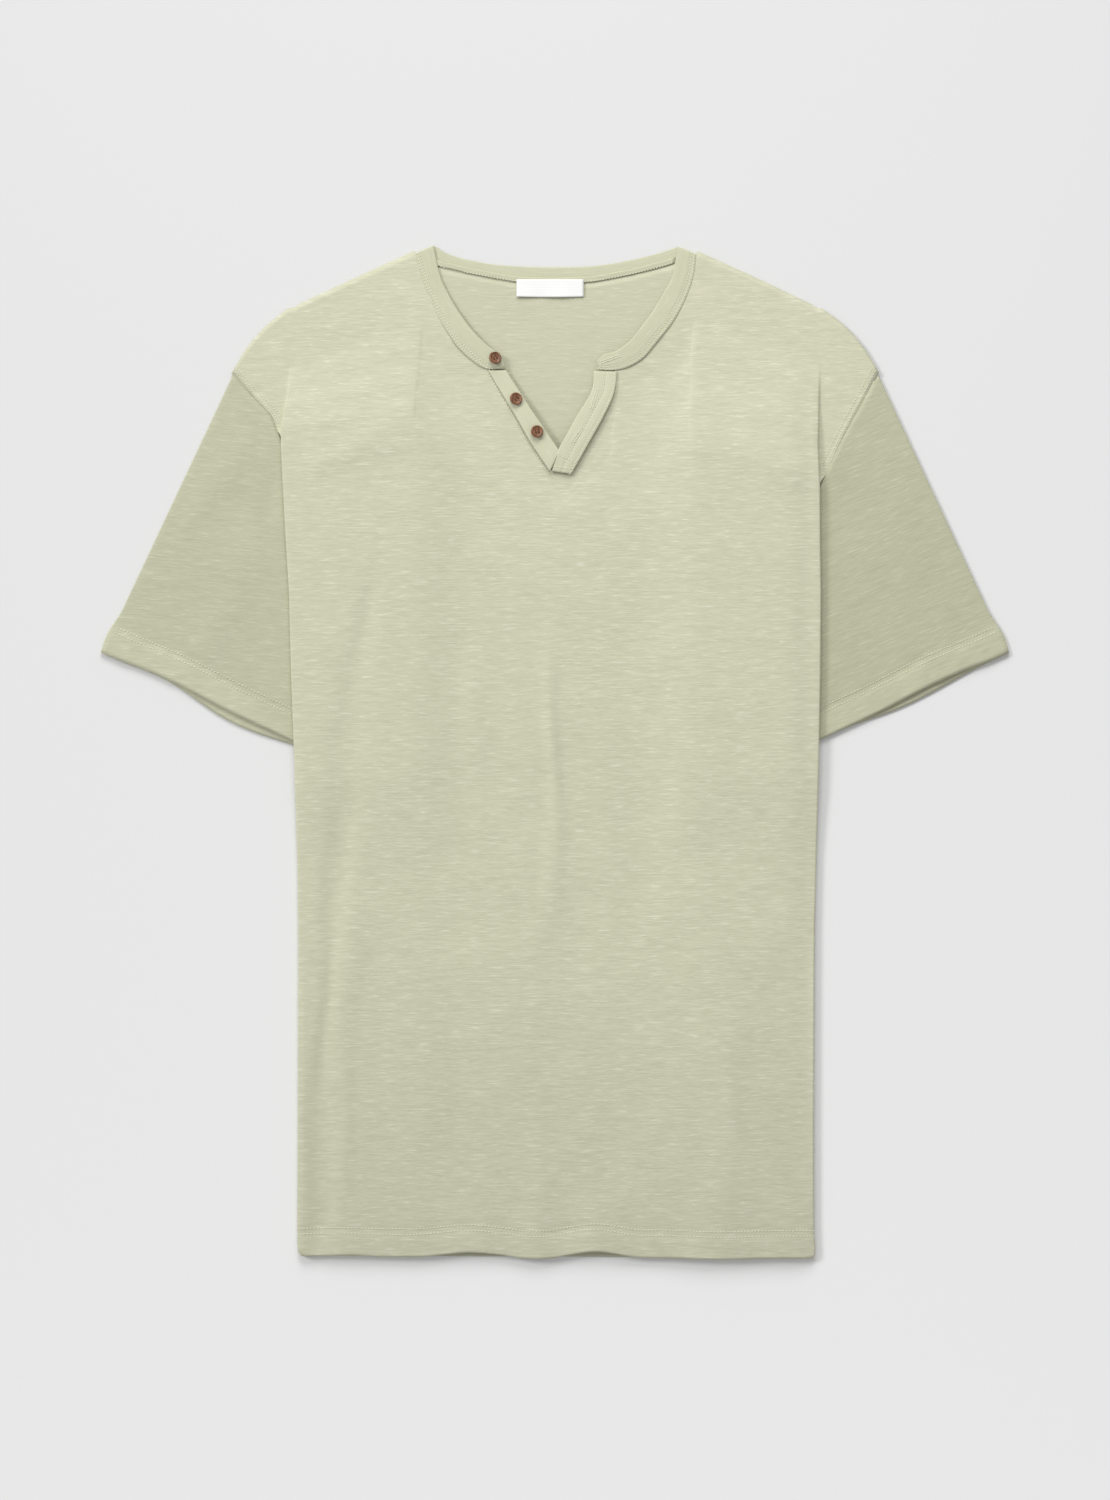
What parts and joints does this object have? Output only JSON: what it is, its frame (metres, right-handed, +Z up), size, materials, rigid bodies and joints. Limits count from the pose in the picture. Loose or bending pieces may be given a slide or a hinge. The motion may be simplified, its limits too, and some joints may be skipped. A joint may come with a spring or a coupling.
{
  "type": "henley shirt",
  "caption": "Short-sleeved henley shirt in slub jersey, laid flat with its sides turned under; open neck slit with a button placket.",
  "frame": {"origin": "centre of the shirt's outline on the table, at the underside of the cloth", "axes": "+X towards the wearer's left sleeve, +Y from the hem to the neck, +Z up off the table, out of the front of the shirt"},
  "size_m": [0.6624, 0.737, 0.0073],
  "materials": {
    "jersey": "matt slub single jersey, pale sage green",
    "sleeve_jersey": "matt slub single jersey, pale sage green",
    "trim": "matt jersey, doubled and topstitched",
    "label": "white woven satin tape, blank",
    "button": "turned coconut shell, satin"
  },
  "bodies": {
    "root": {"back_panel": "jersey", "front_panel": "jersey", "sleeve_right": "sleeve_jersey", "sleeve_left": "sleeve_jersey", "neckband": "trim", "placket_buttons": "trim", "placket_buttonholes": "trim", "neck_tape": "trim", "neck_label": "label", "button_1": "button", "button_2": "button", "button_3": "button"}
  },
  "joints": []
}
